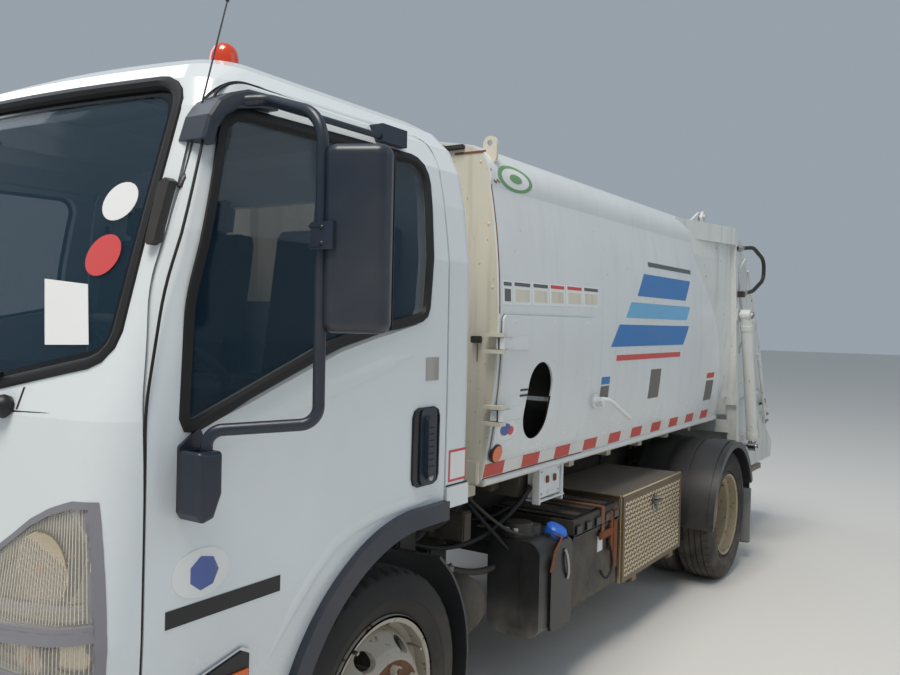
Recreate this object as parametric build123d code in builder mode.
"""Low-cab garbage truck with a small curved-side rear loader body.

Millimetres, +Z up, ground at Z = 0. The truck faces -Y and its left side is +X.
Lengthwise places are given as distances behind the front axle, through aft().
"""

from build123d import *
from math import cos, radians, sin, sqrt
import os

# Driving dimensions of the chassis
wheelbase = 3366
front_axle_y = -1990
axle_z = 405
front_tyre_x = 832
rear_outer_tyre_x = 952
rear_inner_tyre_x = 698
kingpin_x = 720
rail_outer = 425
rail_top = 836
rail_height = 216
rail_flange = 71
rail_wall = 6
rail_front = -1000
rail_back = 3885

front_spring_x = 390
rear_spring_x = 475
spring_width = 68

# Driving dimensions of the cab
cab_wall = 45
cab_rear = 370
cab_floor = 1000
belt_z = 1360
arch_centre_aft = 60
arch_centre_z = 420
arch_radius = 540
tilt_aft = -980
tilt_z = 770
tilt_tube_half = 462

# Driving dimensions of the refuse body
body_front = 700
body_sill_z = 980
sheet = 8
post_top_aft = 3700
post_bottom_aft = 3880
post_bottom_z = 800
post_top_z = 2240
post_outer = 980
hinge_aft = 3745
hinge_z = 2345


def aft(distance):
    """Y of a station a distance behind the front axle."""
    return front_axle_y + distance


def at_x(x):
    """Side-view plane at x: local x is Y and local y is Z."""
    return Plane.YZ.offset(x)


def at_y(y):
    """Front-view plane at y: local x is X and local y is Z, positive extrudes go forwards."""
    return Plane.XZ.offset(-y)


def at_z(z):
    """Plan-view plane at z."""
    return Plane.XY.offset(z)


def stations(points):
    """Side-view points, given as (distance behind the front axle, height)."""
    return [(aft(distance), height) for distance, height in points]


pieces = {}


def keep(name, part):
    """Label a finished piece and set it aside for writing."""
    part.label = name
    pieces[name] = part


def keep_pair(name, left):
    """Keep a left-hand piece and its mirror image."""
    keep(f"{name}_left", left)
    keep(f"{name}_right", mirror(left, about=Plane.YZ))


# Chassis frame: two channel rails joined by cross members
cross_member_afts = (-950, 1300, 2000, 2700, 3400, 3830)
cross_member_width = 80
cross_member_height = 130

with BuildPart() as chassis_frame:
    with BuildSketch(at_y(aft(rail_front))):
        for side in (1, -1):
            with Locations((side * (rail_outer - rail_flange / 2), rail_top - rail_height / 2)):
                Rectangle(rail_flange, rail_height)
            with Locations((side * (rail_outer - rail_flange / 2 - rail_wall), rail_top - rail_height / 2)):
                Rectangle(rail_flange, rail_height - 2 * rail_wall, mode=Mode.SUBTRACT)
    extrude(amount=-(rail_back - rail_front))
    for station in cross_member_afts:
        with Locations((0, aft(station), rail_top - rail_height / 2)):
            Box(2 * (rail_outer - rail_wall), cross_member_width, cross_member_height)
        with Locations((0, aft(station) + rail_wall, rail_top - rail_height / 2)):
            Box(
                2 * (rail_outer - rail_wall) - 20,
                cross_member_width,
                cross_member_height - 2 * rail_wall,
                mode=Mode.SUBTRACT,
            )
    # Cross tube that the cab tilts about
    with Locations((0, aft(tilt_aft), tilt_z)):
        Cylinder(26, 2 * tilt_tube_half, rotation=(0, 90, 0))
keep("chassis_frame", chassis_frame.part)

# Engine and gearbox as one plain block, on brackets to the rails
with BuildPart() as engine:
    with Locations((0, aft(-125), 780)):
        Box(600, 950, 680)
    with Locations((0, aft(725), 650)):
        Box(340, 800, 360)
    for station in (-300, 150):
        with Locations((0, aft(station), 730)):
            Box(2 * (rail_outer - rail_wall), 90, 60)
keep("engine", engine.part)


def leaf_spring(x, centre_aft, half_length, low_z, high_z, thickness):
    """Curved leaf pack in side view, low in the middle."""
    ends = stations([(centre_aft - half_length, high_z), (centre_aft + half_length, high_z)])
    under = stations([(centre_aft - half_length, high_z - 25), (centre_aft + half_length, high_z - 25)])
    with BuildPart() as spring:
        with BuildSketch(at_x(x - spring_width / 2)):
            with BuildLine():
                ThreePointArc(ends[0], (aft(centre_aft), low_z), ends[1])
                ThreePointArc(under[0], (aft(centre_aft), low_z - thickness), under[1])
                Line(ends[0], under[0])
                Line(ends[1], under[1])
            make_face()
        extrude(amount=spring_width)
    return spring.part


front_springs = [leaf_spring(side * front_spring_x, 0, 620, axle_z + 95, 590, 50) for side in (1, -1)]
rear_springs = [
    leaf_spring(side * rear_spring_x, wheelbase, 490, axle_z + 150, 600, 60) for side in (1, -1)
]

# Front axle beam on its springs
with BuildPart() as front_axle:
    add(front_springs)
    with BuildSketch(at_x(-kingpin_x + 40)):
        with Locations((aft(0), axle_z - 30)):
            Rectangle(90, 90)
            with Locations((32, 0), (-32, 0)):
                Rectangle(36, 58, mode=Mode.SUBTRACT)
    extrude(amount=2 * (kingpin_x - 40))
    for side in (1, -1):
        with Locations((side * kingpin_x, aft(0), axle_z)):
            Cylinder(46, 104)
        with Locations((side * (kingpin_x - 60), aft(0), axle_z - 15)):
            Box(70, 80, 70)
        with Locations((side * front_spring_x, aft(0), axle_z + 25)):
            Box(90, 120, 60)
        for station in (-620, 620):
            with Locations((side * front_spring_x, aft(station), 590)):
                Box(spring_width, 70, 2 * (rail_top - rail_height - 590))
    for side in (1, -1):
        with Locations((side * kingpin_x, aft(0), axle_z)):
            Cylinder(17.05, 110, mode=Mode.SUBTRACT)
keep("front_axle", front_axle.part)

# Rear axle housing with its springs and the drive shaft
with BuildPart() as rear_axle:
    add(rear_springs)
    with Locations((0, aft(wheelbase), axle_z)):
        Cylinder(62, 1120, rotation=(0, 90, 0))
        Cylinder(42, 1560, rotation=(0, 90, 0))
        Sphere(175)
    for side in (1, -1):
        with Locations((side * rear_spring_x, aft(wheelbase), axle_z + 75)):
            Box(100, 150, 60)
        for station in (wheelbase - 490, wheelbase + 490):
            with Locations((side * (rail_outer + 44), aft(station), 645)):
                Box(88, 70, 140)
    shaft_start = Vector(0, aft(1132), 600)
    shaft_end = Vector(0, aft(wheelbase - 140), axle_z + 20)
    with BuildSketch(Plane(origin=shaft_start, z_dir=shaft_end - shaft_start)):
        Circle(45)
    extrude(amount=(shaft_end - shaft_start).length)
keep("rear_axle", rear_axle.part)

# Wheels, drawn about the X axis: table columns are axial place and radius
rim_profile = (
    (-98, 262), (-88, 262), (-88, 248), (-45, 248), (-35, 226), (25, 226), (45, 248),
    (88, 248), (88, 262), (98, 262), (98, 254), (93, 240), (49, 240), (28, 218),
    (-38, 218), (-49, 240), (-93, 240), (-98, 254),
)
disc_profile = (
    (22, 221), (34, 221), (62, 206), (112, 166), (132, 142), (132, 60),
    (120, 60), (120, 136), (100, 157), (50, 197), (20, 212),
)
tyre_profile = (
    (-86, 249.5), (86, 249.5), (86, 264), (104, 290), (113, 325), (110, 358), (99, 390),
    (84, 400), (42, 405), (-42, 405), (-84, 400), (-99, 390), (-110, 358), (-113, 325),
    (-104, 290), (-86, 264),
)
hub_radius = 84
stud_circle = 111
hand_hole_circle = 178


def wheel_plane(x, axle_aft):
    """Front-view plane at an axle, with its origin on the wheel's axis."""
    return Plane(origin=(x, aft(axle_aft), axle_z), x_dir=(1, 0, 0), z_dir=(0, -1, 0))


def wheel_axis(axle_aft):
    return Axis((0, aft(axle_aft), axle_z), (1, 0, 0))


def spin_profile(profile, x, axle_aft, facing=1):
    """Revolve a profile about a wheel's axis; facing -1 turns it inwards."""
    with BuildPart() as ring:
        with BuildSketch(wheel_plane(x, axle_aft)):
            with BuildLine():
                Polyline(*[(facing * axial, radius) for axial, radius in profile], close=True)
            make_face()
        revolve(axis=wheel_axis(axle_aft))
    return ring.part


def wheel_face(x, axle_aft):
    """Side-view plane on a wheel's axis, extruding outwards."""
    return Plane(origin=(x, aft(axle_aft), axle_z), x_dir=(0, 1, 0), z_dir=(1, 0, 0))


def hub_part(x, axle_aft, table):
    """Coaxial cylinders: table columns are start, end and radius."""
    with BuildPart() as hub:
        for start, end, radius in table:
            with BuildSketch(wheel_face(x + start, axle_aft)):
                Circle(radius)
            extrude(amount=end - start)
    return hub.part


front_rim = spin_profile(rim_profile, front_tyre_x, 0)
front_disc = spin_profile(disc_profile, front_tyre_x, 0)
front_hub = hub_part(front_tyre_x, 0, ((-30, 120, hub_radius), (104, 120, 135), (120, 165, 70)))

with BuildPart() as front_wheel:
    add([front_rim, front_disc])
    with BuildSketch(wheel_face(front_tyre_x + 20, 0)):
        with PolarLocations(hand_hole_circle, 6):
            Ellipse(23, 32)
    extrude(amount=150, mode=Mode.SUBTRACT)
    add(front_hub)
    with BuildSketch(wheel_face(front_tyre_x + 130, 0)):
        with PolarLocations(stud_circle, 6, start_angle=30):
            RegularPolygon(17, 6)
    extrude(amount=26)
    with BuildSketch(wheel_face(front_tyre_x - 31, 0)):
        Circle(32)
    extrude(amount=160, mode=Mode.SUBTRACT)
keep_pair("wheel_front", front_wheel.part)

keep_pair("tyre_front", spin_profile(tyre_profile, front_tyre_x, 0))

rear_rings = [
    spin_profile(rim_profile, rear_outer_tyre_x, wheelbase, facing=-1),
    spin_profile(disc_profile, rear_outer_tyre_x, wheelbase, facing=-1),
    spin_profile(rim_profile, rear_inner_tyre_x, wheelbase),
    spin_profile(disc_profile, rear_inner_tyre_x, wheelbase),
]
rear_hub = hub_part(rear_inner_tyre_x, wheelbase, ((-70, 30, 165), (30, 265, hub_radius)))

with BuildPart() as rear_wheels:
    add(rear_rings)
    with BuildSketch(wheel_face(rear_inner_tyre_x + 40, wheelbase)):
        with PolarLocations(hand_hole_circle, 6):
            Ellipse(23, 32)
    extrude(amount=190, mode=Mode.SUBTRACT)
    add(rear_hub)
    with BuildSketch(wheel_face(rear_outer_tyre_x - 122, wheelbase)):
        with PolarLocations(stud_circle, 6, start_angle=30):
            RegularPolygon(17, 6)
    extrude(amount=24)
    with BuildSketch(wheel_face(rear_inner_tyre_x - 71, wheelbase)):
        Circle(43)
    extrude(amount=265, mode=Mode.SUBTRACT)
keep_pair("wheels_rear", rear_wheels.part)

keep_pair(
    "tyres_rear",
    spin_profile(tyre_profile, rear_outer_tyre_x, wheelbase)
    + spin_profile(tyre_profile, rear_inner_tyre_x, wheelbase),
)

# Steering knuckle: yoke round the beam end, kingpin, brake plate and spindle
with BuildPart() as knuckle:
    with Locations((kingpin_x, aft(0), axle_z)):
        Cylinder(17, 190)
    for height in (74, -74):
        with Locations((kingpin_x, aft(0), axle_z + height)):
            Cylinder(38, 34)
    with Locations((kingpin_x + 40, aft(0), axle_z + 74), (kingpin_x + 40, aft(0), axle_z - 74)):
        Box(44, 70, 34)
    with Locations((kingpin_x + 56, aft(0), axle_z)):
        Box(14, 110, 182)
    with BuildSketch(wheel_face(kingpin_x + 60, 0)):
        Circle(150)
    extrude(amount=10)
    with BuildSketch(wheel_face(kingpin_x + 60, 0)):
        Circle(30)
    extrude(amount=160)
keep_pair("knuckle", knuckle.part)

# Cab outer form: table columns are height, half width, front Y at the centre, how far the
# front falls back at the corners, front corner radius, rear Y and rear corner radius
cab_sections = (
    (620, 985, -1172, 85, 120, 370, 55),
    (900, 998, -1178, 85, 120, 370, 55),
    (belt_z, 1002, -1090, 88, 120, 370, 55),
    (1780, 1000, -938, 88, 115, 370, 55),
    (1960, 976, -873, 88, 105, 372, 55),
    (2080, 952, -830, 86, 100, 374, 60),
    (2160, 914, -794, 84, 100, 376, 70),
    (2220, 856, -722, 80, 110, 372, 85),
    (2265, 768, -634, 70, 120, 360, 100),
    (2300, 610, -560, 55, 130, 330, 120),
    (2326, 360, -480, 35, 120, 260, 120),
)
roof_from = 2100


def cab_form(inset):
    """The cab's closed outer form, drawn in by a distance on every side."""
    with BuildPart() as form:
        for height, half_width, front, fall, corner, back, back_corner in cab_sections:
            lift = inset if height == cab_sections[0][0] else 0
            drop = inset if height > roof_from else 0
            side_x = half_width - inset
            face = aft(front) + inset
            rear = aft(back) - inset
            rear_corner = max(back_corner - inset, 8)
            turn = side_x - 0.8 * corner
            with BuildSketch(at_z(height + lift - drop)):
                with BuildLine():
                    Line((side_x, rear - rear_corner), (side_x, face + fall + corner))
                    ThreePointArc(
                        (side_x, face + fall + corner),
                        (side_x - 0.24 * corner, face + fall + 0.33 * corner),
                        (turn, face + fall),
                    )
                    ThreePointArc((turn, face + fall), (0, face), (-turn, face + fall))
                    ThreePointArc(
                        (-turn, face + fall),
                        (-side_x + 0.24 * corner, face + fall + 0.33 * corner),
                        (-side_x, face + fall + corner),
                    )
                    Line((-side_x, face + fall + corner), (-side_x, rear - rear_corner))
                    RadiusArc((-side_x, rear - rear_corner), (-side_x + rear_corner, rear), rear_corner)
                    Line((-side_x + rear_corner, rear), (side_x - rear_corner, rear))
                    RadiusArc((side_x - rear_corner, rear), (side_x, rear - rear_corner), rear_corner)
                make_face()
        loft(ruled=True)
    return form.part


# What the cab's underside leaves clear: wheel arches, chassis rails and engine
tunnel_half_width = 470
tunnel_z = 905
hump_half_width = 345
hump_z = 1180
hump_front = -650
arch_front = -500
arch_back_z = arch_centre_z + 565


def underside(grow):
    """Space below the cab's floor, grown by a wall."""
    with BuildPart() as space:
        with BuildSketch(at_x(-1100)):
            with Locations((aft(arch_centre_aft), arch_centre_z)):
                Circle(arch_radius + grow)
            with Locations((aft(arch_centre_aft + 250), 600)):
                Rectangle(500, 2 * (arch_back_z + grow - 600))
        extrude(amount=2200)
        with Locations((0, aft(-400), 500)):
            Box(2 * (tunnel_half_width + grow), 1800, 2 * (tunnel_z + grow - 500))
        with Locations((0, aft(hump_front - grow + 600), 600)):
            Box(2 * (hump_half_width + grow), 1200, 2 * (hump_z + grow - 600))
    return space.part


cab_outer = cab_form(0) - underside(0)
cab_cavity = cab_form(cab_wall) - underside(cab_wall)

# Door outline in side view and the gap left round it;
# outline columns are station, height and corner radius
door_rear = 208
door_bottom_z = 640
door_gap = 8
door_rear_gap = 10
door_outline = (
    (-921, door_bottom_z, 8), (-921, 1390, 600), (-878, 1640, 700), (-694, 2163, 190),
    (door_rear, 2173, 60), (door_rear, door_bottom_z, 8),
)
window_outline = (
    (-826, 1332, 20), (-813, 1618, 400), (-681, 2074, 95), (134, 2087, 62), (86, 1604, 38), (-330, 1524, 800),
)
# Windscreen opening in front view; columns are half width, height and corner radius
windscreen_half = ((500, 1405, 880), (908, 1497, 60), (846, 2148, 90))
windscreen_outline = windscreen_half + tuple((-x, z, r) for x, z, r in reversed(windscreen_half))
# Inner limit of the door leaf in front view, clear of the windscreen pillar and within the roof's turn
door_limit = ((935, 500), (935, 1890), (862, 2200), (1200, 2200), (1200, 500))
rear_window = (900, 380)
rear_window_z = 1840


def rounded_outline(points, radii, close=True):
    """Closed outline with a radius at each corner."""
    return FilletPolyline(*points, radius=radii, close=close)


def side_prism(outline, grow, low_x, high_x, rear_grow=0):
    """Side-view outline, grown evenly, pushed through from low_x to high_x."""
    with BuildPart() as prism:
        with BuildSketch(at_x(low_x)):
            with BuildLine():
                rounded_outline(stations([row[:2] for row in outline]), [row[2] for row in outline])
            make_face()
            if grow:
                offset(amount=grow, kind=Kind.INTERSECTION)
            if rear_grow:
                with Locations((aft(door_rear + grow), 1400)):
                    Rectangle(2 * rear_grow, 1340)
        extrude(amount=high_x - low_x)
    return prism.part


def front_prism(outline, low_y, high_y):
    """Front-view outline pushed through from low_y to high_y."""
    with BuildPart() as prism:
        with BuildSketch(at_y(high_y)):
            with BuildLine():
                Polyline(*outline, close=True)
            make_face()
        extrude(amount=high_y - low_y)
    return prism.part


def door_zone(shift):
    """Space outward of the door leaf's inner limit, moved inward by a shift."""
    moved = [(x if x > 1000 else x - shift, z) for x, z in door_limit]
    return front_prism(moved, aft(-1100), aft(320))


door_panel_prism = side_prism(door_outline, 0, 800, 1100) & door_zone(0)
window_prism = side_prism(window_outline, 0, 800, 1100)
door_hole = side_prism(door_outline, door_gap, 800, 1100, door_rear_gap - door_gap) & door_zone(door_gap)
door_hole = door_hole - cab_form(cab_wall + door_gap)
with BuildPart() as windscreen_cut:
    with BuildSketch(at_y(aft(-400))):
        with BuildLine():
            rounded_outline([row[:2] for row in windscreen_outline], [row[2] for row in windscreen_outline])
        make_face()
    extrude(amount=900)
windscreen_prism = windscreen_cut.part

# Headlamp and grille openings in the front of the cab
headlamp_outline = (
    (1100, 1197), (950, 1196), (882, 1176), (824, 1150), (732, 1087), (640, 1012), (618, 965), (640, 932),
    (780, 930), (910, 940), (1100, 958),
)
turn_lamp_outline = ((1100, 942), (912, 927), (782, 915), (655, 916), (700, 840), (1100, 815))
lamp_back = -1006
grille_half_width = 540
grille_low_z = 900
grille_high_z = 1130

headlamp_prism = front_prism(headlamp_outline, aft(-1300), aft(lamp_back))
turn_lamp_prism = front_prism(turn_lamp_outline, aft(-1300), aft(lamp_back))
grille_prism = front_prism(
    (
        (-grille_half_width, grille_high_z), (grille_half_width, grille_high_z),
        (grille_half_width - 40, grille_low_z), (-grille_half_width + 40, grille_low_z),
    ),
    aft(-1300),
    aft(-1000),
)
lamp_depth = cab_form(60)

# Cab shell: skins, floor, wheel arches and engine hump in one welded piece
with BuildPart() as cab_shell:
    add(cab_outer)
    add(cab_cavity, mode=Mode.SUBTRACT)
    add(door_hole, mode=Mode.SUBTRACT)
    add(mirror(door_hole, about=Plane.YZ), mode=Mode.SUBTRACT)
    add(windscreen_prism, mode=Mode.SUBTRACT)
    add(grille_prism, mode=Mode.SUBTRACT)
    for lamp in (headlamp_prism, turn_lamp_prism):
        add(lamp, mode=Mode.SUBTRACT)
        add(mirror(lamp, about=Plane.YZ), mode=Mode.SUBTRACT)
    with BuildSketch(at_y(aft(cab_rear + 50))):
        with Locations((0, rear_window_z)):
            RectangleRounded(rear_window[0], rear_window[1], 50)
    extrude(amount=150, mode=Mode.SUBTRACT)
    # Ears that turn on the tilt tube
    for side in (1, -1):
        with Locations((side * 445, aft(tilt_aft), (tunnel_z + tilt_z - 40) / 2)):
            Box(22, 110, tunnel_z - tilt_z + 44)
        with Locations((side * 445, aft(tilt_aft), tilt_z)):
            Cylinder(27, 30, rotation=(0, 90, 0), mode=Mode.SUBTRACT)
keep("cab_shell", cab_shell.part)

glass_face = 12
glass_thickness = 5
glass_layer = cab_form(glass_face) - cab_form(glass_face + glass_thickness)

# Windscreen and rear window panes, seated in their openings
with BuildPart() as rear_window_prism:
    with BuildSketch(at_y(aft(cab_rear + 50))):
        with Locations((0, rear_window_z)):
            RectangleRounded(rear_window[0], rear_window[1], 50)
    extrude(amount=150)
cab_glass = (glass_layer & windscreen_prism) + (glass_layer & rear_window_prism.part)
keep("cab_glass", cab_glass)

# Door panel, as thick as the cab's wall, with its window cut
door_layer = cab_outer - cab_form(cab_wall)
keep_pair("door", (door_layer & door_panel_prism) - window_prism)
keep_pair("door_glass", glass_layer & window_prism)

# Black door furniture: wheel-arch flare, handle and the mirror on its bent tube
flare_inner = 528
flare_outer = 588
flare_stand = 26
handle_aft = 104
handle_z = 1196
handle_size = (86, 238)
mirror_tube = 14
mirror_path = (
    (1046, -803, 1252), (1046, -803, 1334), (1212, -626, 1348), (1206, -622, 2046),
    (1010, -606, 2108), (950, -672, 2095),
)
mirror_bends = (36, 42, 90, 50)
mirror_stay = ((970, -640, 2116), (958, -500, 2120), (952, -40, 2126))
mirror_stay_radius = 9

with BuildPart() as flare_prism:
    with BuildSketch(at_x(900)):
        with Locations((aft(arch_centre_aft), arch_centre_z)):
            Circle(flare_outer)
        with Locations((aft(arch_centre_aft + 100), arch_centre_z + flare_outer / 2)):
            Rectangle(200, flare_outer)
        with Locations((aft(arch_centre_aft), arch_centre_z)):
            Circle(flare_inner, mode=Mode.SUBTRACT)
        with Locations((aft(arch_centre_aft + 100), arch_centre_z + flare_inner / 2)):
            Rectangle(202, flare_inner, mode=Mode.SUBTRACT)
        with Locations((aft(0), 300)):
            Rectangle(1400, 2 * (door_bottom_z + 6 - 300), mode=Mode.SUBTRACT)
        with Locations((aft(door_rear + 300), 800)):
            Rectangle(600, 1200, mode=Mode.SUBTRACT)
    extrude(amount=200)
flare_layer = cab_form(-flare_stand) - cab_form(0)

with BuildPart() as mirror_arm:
    with BuildLine():
        arm_path = FilletPolyline(
            *[(x, aft(distance), height) for x, distance, height in mirror_path], radius=mirror_bends
        )
    with BuildSketch(Plane(origin=arm_path @ 0, z_dir=arm_path % 0)):
        Circle(mirror_tube)
    sweep()

# Stay that runs back from the tube's mount along the top of the window
with BuildPart() as mirror_bar:
    with BuildLine():
        bar_path = FilletPolyline(
            *[(x, aft(distance), height) for x, distance, height in mirror_stay], radius=80
        )
    with BuildSketch(Plane(origin=bar_path @ 0, z_dir=bar_path % 0)):
        Circle(mirror_stay_radius)
    sweep()
    with Locations((935, aft(-42), 2136)):
        Box(60, 120, 52)

# Mirror head: rounded shell turned towards the driver, clamped to the tube
mirror_head_centre = (1279, -577, 1766)
mirror_head_turn = 26
with BuildPart() as mirror_head:
    with BuildSketch(Plane((mirror_head_centre[0], aft(mirror_head_centre[1]), mirror_head_centre[2] - 212))):
        with Locations(Location((0, 0, 0), (0, 0, mirror_head_turn))):
            RectangleRounded(152, 78, 32)
    extrude(amount=424)
    fillet(mirror_head.edges().filter_by(GeomType.LINE, reverse=True), 24)
    with Locations((1226, aft(-620), 1771)):
        Box(66, 46, 62)

# Cup that holds the tube's lower end against the door
with BuildPart() as mirror_cup:
    with BuildSketch(at_x(996)):
        with BuildLine():
            Polyline(
                *stations([
                    (-846, 1292), (-846, 1156), (-832, 1136), (-802, 1144), (-780, 1196), (-780, 1290),
                ]),
                close=True,
            )
        make_face()
        fillet(vertices(), 8)
    extrude(amount=82)
    fillet(mirror_cup.faces().sort_by(Axis.X)[-1].edges(), 12)
    with BuildSketch(at_x(990)):
        with BuildLine():
            Polyline(*stations([(-846, 1200), (-846, 1300), (-790, 1338), (-774, 1300), (-774, 1200)]), close=True)
        make_face()
        fillet(vertices(), 8)
    extrude(amount=20)
    with Locations((1038, aft(-813), 1290)):
        Box(48, 46, 44, mode=Mode.SUBTRACT)

# Cast mount of the tube's upper end, bent round the window's front corner
with BuildPart() as mirror_mount:
    with BuildSketch(at_x(900)):
        with BuildLine():
            Polyline(
                *stations([
                    (-775, 1988), (-756, 2046), (-728, 2086), (-690, 2110), (-635, 2130), (-548, 2134),
                    (-536, 2100), (-600, 2094), (-665, 2078), (-702, 2054), (-728, 2016), (-736, 1980),
                ]),
                close=True,
            )
        make_face()
    extrude(amount=84)
    chamfer(mirror_mount.faces().sort_by(Axis.X)[-1].edges(), 6)

with BuildPart() as handle:
    with BuildSketch(at_x(990)):
        with Locations((aft(handle_aft), handle_z)):
            RectangleRounded(handle_size[0], handle_size[1], 22)
    extrude(amount=20)
    with BuildSketch(at_x(1009)):
        with Locations((aft(handle_aft - 6), handle_z)):
            RectangleRounded(34, 186, 14)
    extrude(amount=16)

cab_skin = cab_form(-0.5)
mirror_tubes = mirror_arm.part + mirror_bar.part
mirror_solids = (mirror_tubes + mirror_head.part + mirror_cup.part + mirror_mount.part) - cab_skin
handle_solid = handle.part - cab_skin
flare_solid = (flare_layer & flare_prism.part) - cab_form(0)
keep_pair("door_trim", Compound(children=[*mirror_solids.solids(), *flare_solid.solids(), *handle_solid.solids()]))

# Headlamps and turn lamps let into the cab's front corners, and the roof beacon
beacon_place = (592, -375)
beacon_radius = 48
beacon_base_z = 2284
lamp_layer = cab_form(3) - lamp_depth
lamp_solids = []
for lamp in (headlamp_prism, turn_lamp_prism):
    lens = lamp_layer & lamp
    lamp_solids.append(lens)
    lamp_solids.append(mirror(lens, about=Plane.YZ))
with BuildPart() as beacon:
    with BuildSketch(at_z(beacon_base_z)):
        with Locations((beacon_place[0], aft(beacon_place[1]))):
            Circle(beacon_radius + 8)
    extrude(amount=34)
    with BuildSketch(at_z(beacon_base_z + 34)):
        with Locations((beacon_place[0], aft(beacon_place[1]))):
            Circle(beacon_radius)
    extrude(amount=68, taper=7)
    fillet(beacon.faces().sort_by(Axis.Z)[-1].edges(), 30)
beacon_solid = beacon.part - cab_form(0)
keep("cab_lamps", Compound(children=[s for lamp in lamp_solids for s in lamp.solids()] + beacon_solid.solids()))

# Front grille: frame with level louvres between the headlamps
with BuildPart() as front_grille:
    add(grille_prism)
    add(cab_form(6) - cab_form(30), mode=Mode.INTERSECT)
    for louvre_z in (928, 974, 1020, 1066, 1112):
        with Locations((0, aft(-1150), louvre_z - 7)):
            Box(2 * grille_half_width - 130, 200, 26, mode=Mode.SUBTRACT)
keep("front_grille", front_grille.part)

# Dashboard with the steering column and wheel
steering_x = 480
steering_centre = Vector(steering_x, aft(-505), 1470)
steering_plane = Plane(origin=steering_centre, x_dir=(1, 0, 0), z_dir=(0, 0.5, 0.87))
cavity_trim = cab_form(66)
with BuildPart() as dashboard:
    with BuildSketch(at_x(-930)):
        with BuildLine():
            Polyline(
                *stations([
                    (-1150, 1000), (-1150, 1375), (-900, 1385), (-760, 1370), (-700, 1310),
                    (-740, 1190), (-860, 1120), (-900, 1000),
                ]),
                close=True,
            )
        make_face()
    extrude(amount=1860)
    add(cavity_trim, mode=Mode.INTERSECT)
    with BuildSketch(steering_plane):
        Circle(28)
    extrude(amount=-300)
    with BuildSketch(steering_plane):
        Circle(55)
    extrude(amount=-34)
    with BuildSketch(steering_plane.offset(-20)):
        Rectangle(400, 34)
        Rectangle(34, 200, align=(Align.CENTER, Align.MAX))
    extrude(amount=12)
    with BuildSketch(Plane(origin=steering_centre, x_dir=(1, 0, 0), z_dir=steering_plane.y_dir)):
        with Locations((205, 0)):
            Circle(15)
    revolve(axis=Axis(steering_centre, steering_plane.z_dir))
keep("dashboard", dashboard.part)

# Driver's seat and a double passenger seat; columns are middle X and width
with BuildPart() as seats:
    for middle, width in ((500, 500), (-390, 820)):
        with Locations((middle, aft(-60), (cab_floor + cab_wall + 1290) / 2)):
            Box(width - 60, 400, 1290 - cab_floor - cab_wall)
        with BuildSketch(at_x(middle - width / 2)):
            with BuildLine():
                Polyline(
                    *stations([
                        (-300, 1280), (-310, 1370), (-280, 1400), (120, 1385), (190, 1880),
                        (215, 1905), (280, 1900), (290, 1870), (210, 1290),
                    ]),
                    close=True,
                )
            make_face()
        extrude(amount=width)
    add(underside(cab_wall), mode=Mode.SUBTRACT)
keep("seats", seats.part)

# Wipers on the cowl and the aerial's foot on the left pillar
with BuildPart() as wipers:
    for pivot_x in (560, -200):
        with BuildSketch(at_y(aft(-1060))):
            with Locations((pivot_x, 1352)):
                Circle(20)
        extrude(amount=60)
wiper_solids = wipers.part - cab_form(0)
with BuildPart() as aerial:
    with BuildSketch(at_y(aft(-780))):
        with BuildLine():
            Polyline(
                (922, 1748), (932, 1738), (944, 1748), (930, 1888), (918, 1897), (902, 1885), close=True,
            )
        make_face()
        fillet(vertices(), 4)
    extrude(amount=140)
aerial_foot = aerial.part - cab_form(0)
aerial_foot = aerial_foot & cab_form(-16)
keep("cab_fittings", Compound(children=[*wiper_solids.solids(), *aerial_foot.solids()]))

# Front bumper with its entry steps behind the corners
bumper_front = -1217
bumper_low_z = 320
bumper_high_z = 612
bumper_side_z = 574
with BuildPart() as front_bumper:
    for inset, mode in ((0, Mode.ADD), (24, Mode.SUBTRACT)):
        with BuildSketch(at_z(bumper_low_z)):
            with BuildLine():
                half = 985 - inset
                Line((half, aft(-640)), (half, aft(-1000)))
                RadiusArc((half, aft(-1000)), (half - 150, aft(-1150) + inset), 160)
                ThreePointArc(
                    (half - 150, aft(-1150) + inset),
                    (0, aft(bumper_front) + inset),
                    (-half + 150, aft(-1150) + inset),
                )
                RadiusArc((-half + 150, aft(-1150) + inset), (-half, aft(-1000)), 160)
                Line((-half, aft(-1000)), (-half, aft(-640)))
                Line((-half, aft(-640)), (half, aft(-640)))
            make_face()
        extrude(amount=bumper_high_z - bumper_low_z, mode=mode)
    with Locations((0, aft(-500), (bumper_low_z + bumper_high_z) / 2)):
        Box(1700, 1000, 400, mode=Mode.SUBTRACT)
    with Locations((0, aft(-1095 + 500), bumper_side_z + 50)):
        Box(2100, 1000, 100, mode=Mode.SUBTRACT)
    for side in (1, -1):
        with Locations((side * 905, aft(-800), 440)):
            Box(160, 330, 24)
        with Locations((side * (rail_outer - 35), aft(-1090), 585)):
            Box(60, 220, 70)
        with Locations((side * 690, aft(-985), 500)):
            Box(560, 40, 60)
keep("front_bumper", front_bumper.part)

# Refuse body cross-section, half width against height, bulging between sill and roof
body_sill_half = 842
body_waist_half = 905
body_waist_z = 1545
body_eave_half = 856
body_eave_z = 2103
body_turn = (829, 2216)
body_shoulder_half = 772
body_shoulder_z = 2266
body_crown_z = 2342


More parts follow.
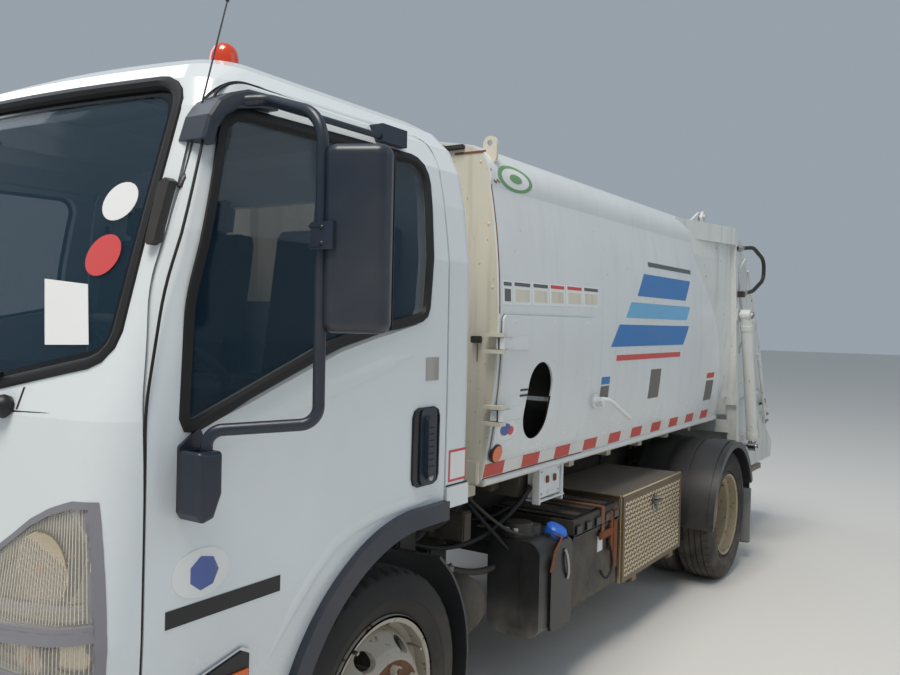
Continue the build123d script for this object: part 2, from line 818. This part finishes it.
def body_section(inset):
    """Face between the sill and the crown, drawn in by the sheet's thickness."""
    sill = (body_sill_half - inset, body_sill_z)
    waist = (body_waist_half - inset, body_waist_z)
    eave = (body_eave_half - inset, body_eave_z)
    turn = (body_turn[0] - 0.85 * inset, body_turn[1] - 0.5 * inset)
    shoulder = (body_shoulder_half - 0.4 * inset, body_shoulder_z - inset)
    with BuildSketch(Plane.XZ) as section:
        with BuildLine():
            ThreePointArc(sill, waist, eave)
            ThreePointArc(eave, turn, shoulder)
            ThreePointArc(shoulder, (0, body_crown_z - inset), (-shoulder[0], shoulder[1]))
            ThreePointArc((-shoulder[0], shoulder[1]), (-turn[0], turn[1]), (-eave[0], eave[1]))
            ThreePointArc((-eave[0], eave[1]), (-waist[0], waist[1]), (-sill[0], sill[1]))
            Line((-sill[0], sill[1]), sill)
        make_face()
    return section.sketch


def body_prism(inset, start, end):
    """The cross-section pushed from one station back to another."""
    return extrude(Pos(0, aft(start), 0) * body_section(inset), amount=-(end - start))


def side_plate(centre_aft, centre_z, length, height, radius, low_x, high_x):
    """Side-view rounded rectangle pushed from low_x to high_x."""
    with BuildPart() as plate:
        with BuildSketch(at_x(low_x)):
            with Locations((aft(centre_aft), centre_z)):
                RectangleRounded(length, height, radius)
        extrude(amount=high_x - low_x)
    return plate.part


# Shell of the refuse body, open behind, with the access opening in its left side
access_centre = (1136, 1339)
access_size = (840, 556)
access_lap = 26
access_cut = side_plate(
    *access_centre, access_size[0] - 2 * access_lap, access_size[1] - 2 * access_lap, 24, 700, 1000
)
post_lean = (post_bottom_aft - post_top_aft) / (post_top_z - post_bottom_z)


def post_aft(height, behind=0):
    """Station of the rear frame's leaning plane at a height."""
    return post_top_aft + (post_top_z - height) * post_lean + behind


with BuildPart() as rear_cut:
    with BuildSketch(at_x(-1200)):
        with BuildLine():
            Polyline(
                *stations([
                    (post_aft(2400), 2400), (post_aft(500), 500), (4700, 500), (4700, 2400),
                ]),
                close=True,
            )
        make_face()
    extrude(amount=2400)

body_tube = body_prism(0, body_front, 3900) - body_prism(sheet, body_front - 10, 3910)
keep("body_shell", body_tube - access_cut - rear_cut.part)

# Access door leaf over the opening, swinging on pins ahead of the body's corner
hinge_x = 928
access_hinge_aft = 684
access_hinge_zs = (1508, 1236)
port_centre = (1040, 1270)
port_size = (212, 318)
port_slant = -9
access_leaf = body_prism(-13, body_front, 1600) - body_prism(-5, body_front - 10, 1610)
access_leaf = access_leaf & side_plate(*access_centre, *access_size, 26, 700, 1000)
with BuildPart() as port_cut:
    with BuildSketch(at_x(700)):
        with Locations(Location((aft(port_centre[0]), port_centre[1], 0), (0, 0, 90 + port_slant))):
            SlotOverall(port_size[1], port_size[0])
    extrude(amount=300)
with BuildPart() as access_knuckles:
    for height in access_hinge_zs:
        with Locations((hinge_x, aft(access_hinge_aft), height)):
            Cylinder(14, 44)
        with Locations((hinge_x - 22, aft(access_hinge_aft + 40), height)):
            Box(50, 96, 40)
        with Locations((hinge_x, aft(access_hinge_aft), height)):
            Cylinder(7.1, 50, mode=Mode.SUBTRACT)
access_knuckle_solids = access_knuckles.part - body_prism(-5, body_front - 60, 1600)
keep("access_door", (access_leaf - port_cut.part) + access_knuckle_solids)

# Front bulkhead: plate, stiffeners, hinge brackets of the access door and the lifting lug
lug_centre_x = 820
bulkhead_plate = body_prism(sheet, body_front, body_front + 10)
with BuildPart() as bulkhead_fittings:
    for x in (-420, 0, 420):
        with Locations((x, aft(body_front - 25), 1640)):
            Box(60, 50, 1180)
    for height in access_hinge_zs:
        for end in (31, -31):
            with Locations((hinge_x - 26, aft(access_hinge_aft - 1), height + end)):
                Box(80, 42, 14)
        with Locations((hinge_x, aft(access_hinge_aft), height)):
            Cylinder(7, 76)
    for side in (1, -1):
        with BuildSketch(at_y(aft(body_front + 58))):
            with Locations((side * lug_centre_x, 2250)):
                SlotOverall(110, 62, rotation=90)
            with Locations((side * lug_centre_x, 2278)):
                Circle(12, mode=Mode.SUBTRACT)
        extrude(amount=14)
bulkhead_solid = bulkhead_plate + (bulkhead_fittings.part - body_prism(0, body_front, body_front + 400))
keep("body_bulkhead", bulkhead_solid)

# Floor of the refuse body on cross bearers and two long sills over the chassis rails
sill_channel_height = 78
bearer_half = 700
floor_back = 3850
with BuildPart() as body_floor:
    with Locations((0, aft((body_front + floor_back) / 2 + 6), body_sill_z - 13)):
        Box(2 * body_sill_half, floor_back - body_front - 12, 26)
    for side in (1, -1):
        with Locations((side * (rail_outer - 35), aft((body_front + 3790) / 2), rail_top + 59)):
            Box(70, 3790 - body_front, 118)
    for station in (860, 1330, 1800, 2270, 2740, 3210, 3660):
        with Locations((0, aft(station), body_sill_z - 26 - sill_channel_height / 2)):
            Box(2 * bearer_half, 56, sill_channel_height)
keep("body_floor", body_floor.part)

# Flared rear frame: side panels that run out from the shell to leaning posts,
# table columns are height, where the panel leaves the shell, and the shell's half width there
flare_rows = (
    (990, 3790, 838),
    (1300, 3664, 882),
    (1600, 3474, 898),
    (1840, 3240, 888),
    (2030, 3060, 866),
    (2200, 2960, 830),
)
flare_sheet = 10
post_width = 66
post_depth = 60
lip_drop = 112
lip_top_z = 2246

with BuildPart() as flare_panel:
    for height, start, shell_half in flare_rows:
        with BuildSketch(at_z(height)):
            with BuildLine():
                Polyline(
                    (shell_half - 4, aft(start)),
                    (post_outer - 30, aft(post_aft(height) - 40)),
                    (post_outer - 30 - flare_sheet, aft(post_aft(height) - 30)),
                    (shell_half - 6, aft(start + 26)),
                    close=True,
                )
            make_face()
    loft(ruled=True)

with BuildPart() as rear_post:
    for height in (post_bottom_z, lip_top_z):
        with BuildSketch(at_z(height)):
            with Locations((post_outer - post_width / 2, aft(post_aft(height) - post_depth / 2))):
                Rectangle(post_width, post_depth)
    loft(ruled=True)

with BuildPart() as rear_lip:
    with BuildSketch(at_z(lip_top_z - lip_drop)):
        with BuildLine():
            Polyline(
                (812, aft(2930)),
                (post_outer, aft(post_aft(lip_top_z) - 70)),
                (post_outer, aft(post_aft(lip_top_z) - 4)),
                (740, aft(post_aft(lip_top_z) - 4)),
                (740, aft(2930)),
                close=True,
            )
        make_face()
    extrude(amount=lip_drop)

left_frame = flare_panel.part + rear_post.part + rear_lip.part
shell_solid = body_prism(0, body_front, 4100)
left_frame = left_frame - shell_solid

# Hinge ears for the tailgate and ears for the lift cylinders' upper pins
lift_x = 1030
lift_top = (3775, 1672)
lift_bottom = (4046, 762)
ear_x = 700
with BuildPart() as frame_extras:
    with Locations((0, aft(post_aft(body_sill_z - 70) - 34), body_sill_z - 69)):
        Box(2 * (post_outer - post_width) + 20, 60, 86)
    for side in (1, -1):
        with BuildSketch(at_x(side * ear_x - 9)):
            with BuildLine():
                Polyline(
                    *stations([
                        (3480, 2262), (hinge_aft - 34, hinge_z + 22), (hinge_aft + 6, hinge_z + 34),
                        (hinge_aft + 30, hinge_z - 6), (3676, 2262),
                    ]),
                    close=True,
                )
            make_face()
            with Locations((aft(hinge_aft), hinge_z)):
                Circle(16.5, mode=Mode.SUBTRACT)
        extrude(amount=18)
        with BuildSketch(at_x(side * (post_outer + 3) - 3)):
            with Locations((aft(lift_top[0] + 4), lift_top[1])):
                RectangleRounded(110, 84, 20)
        extrude(amount=6)
        with BuildSketch(Plane(origin=(side * post_outer, aft(lift_top[0]), lift_top[1]), z_dir=(side, 0, 0))):
            Circle(16)
        extrude(amount=92)
rear_frame_extras = frame_extras.part - shell_solid
keep("body_rear_frame", left_frame + mirror(left_frame, about=Plane.YZ) + rear_frame_extras)

# Hydraulic hoses looping from the rear posts back to the ports above the lift cylinders
hose_radius = 13
hose_port = (1000, 3752, 1812)
hose_route = (
    (post_outer - 4, 3690, 2114), (1036, 3890, 2136), (1062, 4090, 2062), (1062, 4085, 1926),
    (1028, 3940, 1842), (1004, 3768, 1812),
)
hose_bends = (150, 80, 80, 150)
with BuildPart() as lift_hose:
    with BuildLine() as hose_line:
        FilletPolyline(*[(x, aft(y), z) for x, y, z in hose_route], radius=hose_bends)
    with BuildSketch(Plane(origin=hose_line.line @ 0, z_dir=hose_line.line % 0)):
        Circle(hose_radius)
    sweep()
    with Locations((hose_port[0], aft(hose_port[1]), hose_port[2])):
        Box(40, 44, 40)
lift_hose_solid = lift_hose.part - left_frame
lift_hoses = Compound(children=[*lift_hose_solid.solids(), *mirror(lift_hose_solid, about=Plane.YZ).solids()])
keep("lift_hoses", lift_hoses)


def housing(low_x, high_x, start, end, low_z, high_z, radius):
    """Box along the truck with its long edges rounded."""
    with BuildPart() as box:
        with BuildSketch(at_y(aft(start))):
            with Locations(((low_x + high_x) / 2, (low_z + high_z) / 2)):
                RectangleRounded(high_x - low_x, high_z - low_z, radius)
        extrude(amount=-(end - start))
    return box.part


# Fuel tank on the right, with its filler, straps and brackets to the rail
fuel_body = housing(-950, -500, 900, 1900, 330, 750, 60)
with BuildPart() as fuel_tank:
    add(fuel_body)
    with Locations((-830, aft(1180), 752)):
        Cylinder(46, 44)
    for station in (1080, 1720):
        with Locations((-464, aft(station), 600)):
            Box(78, 60, 220)
fuel_straps = [
    housing(-955, -495, station - 22, station + 22, 325, 755, 64) for station in (1080, 1720)
]
keep("fuel_tank", fuel_tank.part + fuel_straps)

# Reductant tank on the left behind the cab, with its capped neck
reductant_body = housing(700, 946, 1000, 1290, 290, 690, 60)
with BuildPart() as reductant_tank:
    add(reductant_body)
    with Locations((850, aft(1120), 700)):
        Cylinder(34, 70)
    with Locations((563, aft(1145), 620)):
        Box(276, 180, 60)
keep("reductant_tank", reductant_tank.part)

# Battery box on the left, its ribbed lid held by a strap
with BuildPart() as battery_box:
    with Locations((715, aft(1590), 480)):
        Box(430, 500, 300)
    with Locations((715, aft(1590), 675)):
        Box(446, 516, 90)
    for offset in (-150, 0, 150):
        with Locations((715, aft(1590 + offset), 724)):
            Box(400, 60, 12)
    with Locations((463, aft(1590), 590)):
        Box(76, 300, 90)
keep("battery_box", battery_box.part)

# Toolbox on the left, open on its outer side, and the drop-down door that shuts it
box_front = 1880
box_back = 2760
box_low = 310
box_high = 740
box_inner_x = 470
box_outer_x = 930
box_sheet = 12
with BuildPart() as toolbox:
    box_centre = ((box_inner_x + box_outer_x) / 2, aft((box_front + box_back) / 2), (box_low + box_high) / 2)
    with Locations(box_centre):
        Box(box_outer_x - box_inner_x, box_back - box_front, box_high - box_low)
        with Locations((box_sheet, 0, 0)):
            Box(
                box_outer_x - box_inner_x,
                box_back - box_front - 2 * box_sheet,
                box_high - box_low - 2 * box_sheet,
                mode=Mode.SUBTRACT,
            )
    for station in (2040, 2600):
        with Locations((box_inner_x - 22.5, aft(station), 680)):
            Box(45, 70, 110)
        with Locations((box_outer_x + 8, aft(station), box_low - 14)):
            Cylinder(8, 66, rotation=(90, 0, 0))
        for end in (36, -36):
            with Locations((box_outer_x - 6, aft(station + end), box_low - 12)):
                Box(42, 10, 24)
keep("toolbox", toolbox.part)

with BuildPart() as toolbox_door:
    with Locations((box_outer_x + 13, aft((box_front + box_back) / 2), (box_low + box_high) / 2)):
        Box(14, box_back - box_front - 6, box_high - box_low - 6)
    with Locations((box_outer_x + 25, aft(2320), box_high - 90)):
        Cylinder(26, 10, rotation=(0, 90, 0))
        with Locations((10, 0, 0)):
            Box(14, 96, 18)
    for station in (2040, 2600):
        with Locations((box_outer_x + 14, aft(station), box_low - 3)):
            Box(12, 58, 22)
        with Locations((box_outer_x + 8, aft(station), box_low - 14)):
            Cylinder(14, 58, rotation=(90, 0, 0))
            Cylinder(8.4, 62, rotation=(90, 0, 0), mode=Mode.SUBTRACT)
keep("toolbox_door", toolbox_door.part)

# Air cleaner and silencer on the right behind the fuel tank, with the tail pipe
with BuildPart() as intake_and_exhaust:
    with Locations((-640, aft(2330), 560)):
        Cylinder(125, 620, rotation=(90, 0, 0))
    for station in (2130, 2530):
        with Locations((-470, aft(station), 640)):
            Box(90, 40, 90)
        with Locations((-560, aft(station), 640)):
            Box(140, 40, 40)
    with BuildLine() as tail_line:
        tail_route = ((-640, 2630), (-640, 2760), (-1010, 2760))
        FilletPolyline(*[(x, aft(y), 560) for x, y in tail_route], radius=70)
    with BuildSketch(Plane(origin=tail_line.line @ 0, z_dir=tail_line.line % 0)):
        Circle(34)
    sweep()
    with BuildSketch(Plane(origin=(-1010, aft(2760), 560), z_dir=(-1, 0, 0))):
        Circle(30)
    extrude(amount=-90, mode=Mode.SUBTRACT)
keep("intake_and_exhaust", intake_and_exhaust.part)

# Control box under the front of the body's left side
with BuildPart() as control_box:
    with Locations((806, aft(1290), 898)):
        Box(48, 200, 144)
    with Locations((834, aft(1290), 894)):
        Box(8, 188, 124)
    with Locations((838, aft(1290), 846)):
        Box(20, 50, 14)
keep("control_box", control_box.part - body_floor.part)


def guard_arc(low_x, high_x, axle_aft, inner, outer, start, end):
    """Part of a ring about an axle; angles run from straight back up and over."""
    with BuildPart() as guard:
        with BuildSketch(Plane(origin=(low_x, aft(axle_aft), axle_z), x_dir=(0, 1, 0), z_dir=(1, 0, 0))):
            Circle(outer)
            Circle(inner, mode=Mode.SUBTRACT)
            with BuildLine():
                reach = 3 * outer
                rays = [
                    (reach * cos(radians(angle)), reach * sin(radians(angle)))
                    for angle in (start, (start + end) / 2, end)
                ]
                Polyline((0, 0), *rays, close=True)
            make_face(mode=Mode.INTERSECT)
        extrude(amount=high_x - low_x)
    return guard.part


# Mudguards: inner guards behind the front wheels, ribbed guards over the rear ones, and flaps
guard_inner = 452
guard_outer = 462
guard_low_x = 590
guard_high_x = 1098
guard_band = 470
guard_cheek = 424
guard_start = 20
guard_sweep = 160
# Section across the guard: X and radius, with three raised bands and the outer cheek
guard_section = (
    (guard_low_x, guard_inner),
    (guard_low_x, guard_outer),
    (640, guard_outer),
    (640, guard_band),
    (760, guard_band),
    (760, guard_outer),
    (790, guard_outer),
    (790, guard_band),
    (910, guard_band),
    (910, guard_outer),
    (940, guard_outer),
    (940, guard_band),
    (1060, guard_band),
    (1060, guard_outer),
    (guard_high_x, guard_outer),
    (guard_high_x, guard_cheek),
    (1086, guard_cheek),
    (1086, guard_inner),
)
guard_normal = (0, -sin(radians(guard_start)), cos(radians(guard_start)))
rear_axle_centre = (0, aft(wheelbase), axle_z)
with BuildPart() as rear_guard:
    with BuildSketch(Plane(origin=rear_axle_centre, x_dir=(1, 0, 0), z_dir=guard_normal)):
        with BuildLine():
            Polyline(*guard_section, close=True)
        make_face()
    revolve(axis=Axis(rear_axle_centre, (1, 0, 0)), revolution_arc=guard_sweep)
    with Locations((855, aft(wheelbase - 459), axle_z - 6)):
        Box(486, 26, 16)
    with Locations((840, aft(3870), 350)):
        Box(440, 8, 460)
    with Locations((748, aft(3855), 550)):
        Box(646, 24, 24)
    with Locations((431, aft(3855), 556)):
        Box(12, 24, 37)
front_guard = guard_arc(600, 930, 0, 482, 492, -22, 52)
with BuildPart() as front_guard_stay:
    with Locations((525, aft(492), 520)):
        Box(200, 24, 34)
    with Locations((440, aft(492), 580)):
        Box(30, 40, 150)
left_guards = [*rear_guard.part.solids(), *(front_guard + front_guard_stay.part).solids()]
right_guards = [mirror(solid, about=Plane.YZ) for solid in left_guards]
keep("mudguards", Compound(children=[*left_guards, *right_guards]))

# Tailgate with the packer inside: side plates, hood skin, trough and sill box
gate_gap = 20
gate_half = 945
gate_side = 15
gate_skin = 10
gate_top_z = 2190
gate_bottom_z = 572
hood_end = (4277, 1755)
hood_top = (3900, gate_top_z)
hood_turn = (4100, 1990)
trough_centre = (4240, 1105)
trough_radius = 465
sill_z = 950
gate_front_top = (post_aft(gate_top_z, gate_gap), gate_top_z)
gate_front_low = (post_aft(gate_bottom_z, gate_gap), gate_bottom_z)
gate_outline = (
    gate_front_top, hood_top, hood_turn, (4440, 1540), (4760, 930), (4810, 806),
    (4990, 692), (4974, 572), gate_front_low,
)
trough_front = (
    trough_centre[0] - 322,
    trough_centre[1] - sqrt(trough_radius**2 - 322**2),
)
trough_back = (
    trough_centre[0] + sqrt(trough_radius**2 - (trough_centre[1] - sill_z) ** 2),
    sill_z,
)

with BuildPart() as gate_sides:
    for low_x in (gate_half - gate_side, -gate_half):
        with BuildSketch(at_x(low_x)):
            with BuildLine():
                Polyline(*stations(gate_outline), close=True)
            make_face()
        extrude(amount=gate_side)

with BuildPart() as gate_hood:
    with BuildSketch(at_x(-gate_half)):
        with BuildLine():
            Polyline(
                *stations([
                    gate_front_top, hood_top, hood_turn, hood_end,
                    (hood_end[0] - 55, hood_end[1]), (hood_end[0] - 19, hood_end[1] + 11),
                    (hood_turn[0] - 11, hood_turn[1] - 8), (hood_top[0] - 4, gate_top_z - 12),
                    (gate_front_top[0] + 2, gate_top_z - 12),
                ]),
                close=True,
            )
        make_face()
    extrude(amount=2 * gate_half)

with BuildPart() as gate_trough:
    with BuildSketch(at_x(-gate_half)):
        with BuildLine():
            Polyline(
                *stations([
                    trough_back, (4752, sill_z), (4760, 930), (4810, 806), (4990, 692), (4974, 572),
                    gate_front_low, (post_aft(sill_z, gate_gap), sill_z),
                    (post_aft(sill_z, gate_gap) + 10, sill_z), trough_front,
                ])
            )
            ThreePointArc(
                (aft(trough_front[0]), trough_front[1]),
                (aft(trough_centre[0]), trough_centre[1] - trough_radius),
                (aft(trough_back[0]), trough_back[1]),
            )
        make_face()
    extrude(amount=2 * gate_half)

# Hollow under the trough, closed all round
with BuildPart() as gate_void:
    with BuildSketch(at_x(-gate_half + gate_side)):
        with BuildLine():
            Polyline(
                *stations([
                    (4714, 915), (4798, 790), (4972, 680), (4960, 586), (4400, 586), (4500, 668),
                    (4610, 760),
                ]),
                close=True,
            )
        make_face()
    extrude(amount=2 * (gate_half - gate_side))

# Lugs up to the hinge line, stiffeners down the sides and ears for the lift rods
lug_x = 727
with BuildPart() as gate_fittings:
    for side in (1, -1):
        with BuildSketch(at_x(side * lug_x - 9)):
            with BuildLine():
                Polyline(
                    *stations([
                        (hinge_aft - 40, hinge_z - 8), (hinge_aft - 12, hinge_z + 34),
                        (hinge_aft + 30, hinge_z + 26), (3885, 2186), (3760, 2186),
                    ]),
                    close=True,
                )
            make_face()
        extrude(amount=18)
        with BuildSketch(Plane(origin=(side * 686, aft(hinge_aft), hinge_z), z_dir=(side, 0, 0))):
            Circle(16)
        extrude(amount=60)
        with BuildSketch(at_x(side * (gate_half + 10) - 10)):
            with Locations((aft(lift_bottom[0]), lift_bottom[1])):
                RectangleRounded(170, 150, 30)
        extrude(amount=20)
        with Locations((side * (gate_half + 11), aft(4700), 905)):
            Box(22, 70, 88)
        with Locations((side * (gate_half + 16), aft(4700), 1010)):
            Box(32, 20, 60)
keep(
    "tailgate_shell",
    gate_sides.part + gate_hood.part + (gate_trough.part - gate_void.part) + gate_fittings.part,
)

# Riding step hung behind the sill
step_half = 815
with BuildPart() as rear_step:
    with Locations((0, aft(4830), 448)):
        Box(2 * step_half, 760, 36)
    for side in (1, -1):
        with Locations((side * 700, aft(4640), 519)):
            Box(60, 330, 106)
        with Locations((side * 260, aft(4640), 519)):
            Box(60, 330, 106)
keep("rear_step", rear_step.part)

# Rear lamps on the sill box
with BuildPart() as rear_lamps:
    for side in (1, -1):
        with Locations((side * 780, aft(4998), 632)):
            Box(260, 36, 84)
keep("rear_lamps", rear_lamps.part - gate_trough.part)

# Lift cylinders outside the tailgate: barrel on the post's pin, rod down to the tailgate's ear
lift_span = Vector(0, aft(lift_bottom[0]) - aft(lift_top[0]), lift_bottom[1] - lift_top[1])
lift_along = lift_span.normalized()
barrel_radius = 38
barrel_bore = 30
barrel_length = 880
rod_radius = 19


def lift_plane(distance):
    """Plane across the lift cylinder at a distance from its upper pin."""
    origin = Vector(lift_x, aft(lift_top[0]), lift_top[1]) + lift_along * distance
    return Plane(origin=origin, x_dir=(1, 0, 0), z_dir=lift_along)


with BuildPart() as lift_barrel:
    with BuildSketch(lift_plane(20)):
        Circle(barrel_radius)
    extrude(amount=barrel_length - 20)
    with BuildSketch(lift_plane(52)):
        Circle(barrel_bore)
    extrude(amount=barrel_length, mode=Mode.SUBTRACT)
    with BuildSketch(lift_plane(barrel_length - 40)):
        Circle(barrel_radius + 3)
        Circle(rod_radius + 0.6, mode=Mode.SUBTRACT)
    extrude(amount=56)
    with BuildSketch(Plane(origin=(lift_x - 32, aft(lift_top[0]), lift_top[1]), z_dir=(1, 0, 0))):
        Circle(38)
    extrude(amount=64)
    with BuildSketch(Plane(origin=(lift_x - 40, aft(lift_top[0]), lift_top[1]), z_dir=(1, 0, 0))):
        Circle(16.6)
    extrude(amount=80, mode=Mode.SUBTRACT)
keep_pair("lift_barrel", lift_barrel.part)

with BuildPart() as lift_rod:
    with BuildSketch(lift_plane(60)):
        Circle(rod_radius)
    extrude(amount=lift_span.length - 60)
    with BuildSketch(lift_plane(60)):
        Circle(barrel_bore - 1)
    extrude(amount=30)
    with BuildSketch(Plane(origin=(lift_x - 26, aft(lift_bottom[0]), lift_bottom[1]), z_dir=(1, 0, 0))):
        Circle(36)
    extrude(amount=52)
    with BuildSketch(Plane(origin=(972, aft(lift_bottom[0]), lift_bottom[1]), z_dir=(1, 0, 0))):
        Circle(15)
    extrude(amount=98)
keep_pair("lift_rod", lift_rod.part)

# Packer: carriage that slides down the tailgate and the blade swinging below it
blade_hinge = (4200, 1400)
with BuildPart() as packer_slide:
    with BuildSketch(at_x(-870)):
        with BuildLine():
            Polyline(
                *stations([
                    (3968, 2000), (4030, 2000), (4246, 1470), (4216, 1442), (4150, 1430), (4058, 1430),
                ]),
                close=True,
            )
        make_face()
    extrude(amount=1740)
    for side in (1, -1):
        with Locations((side * 893, aft(4090), 1740)):
            Box(50, 60, 300)
        with BuildSketch(at_x(side * 880 - 10)):
            with BuildLine():
                Polyline(
                    *stations([(4160, 1480), (4240, 1480), (4232, 1372), (4168, 1372)]),
                    close=True,
                )
            make_face()
        extrude(amount=20)
    with Locations((0, aft(blade_hinge[0]), blade_hinge[1])):
        Cylinder(20, 1784, rotation=(0, 90, 0))
keep("packer_slide", packer_slide.part)

with BuildPart() as packer_blade:
    with Locations((0, aft(blade_hinge[0]), blade_hinge[1])):
        Cylinder(34, 1720, rotation=(0, 90, 0))
    with BuildSketch(at_x(-860)):
        with BuildLine():
            Polyline(
                *stations([
                    (4176, 1390), (4224, 1390), (4236, 1180), (4196, 984), (4150, 984), (4184, 1170),
                ]),
                close=True,
            )
        make_face()
    extrude(amount=1720)
    for x in (-560, 0, 560):
        with BuildSketch(at_x(x - 8)):
            with BuildLine():
                Polyline(
                    *stations([(4222, 1330), (4300, 1180), (4226, 1060), (4190, 1180)]),
                    close=True,
                )
            make_face()
        extrude(amount=16)
    with Locations((0, aft(blade_hinge[0]), blade_hinge[1])):
        Cylinder(20.3, 1730, rotation=(0, 90, 0), mode=Mode.SUBTRACT)
keep("packer_blade", packer_blade.part)

os.makedirs("parts", exist_ok=True)
for name, part in pieces.items():
    export_step(part, f"parts/{name}.step")
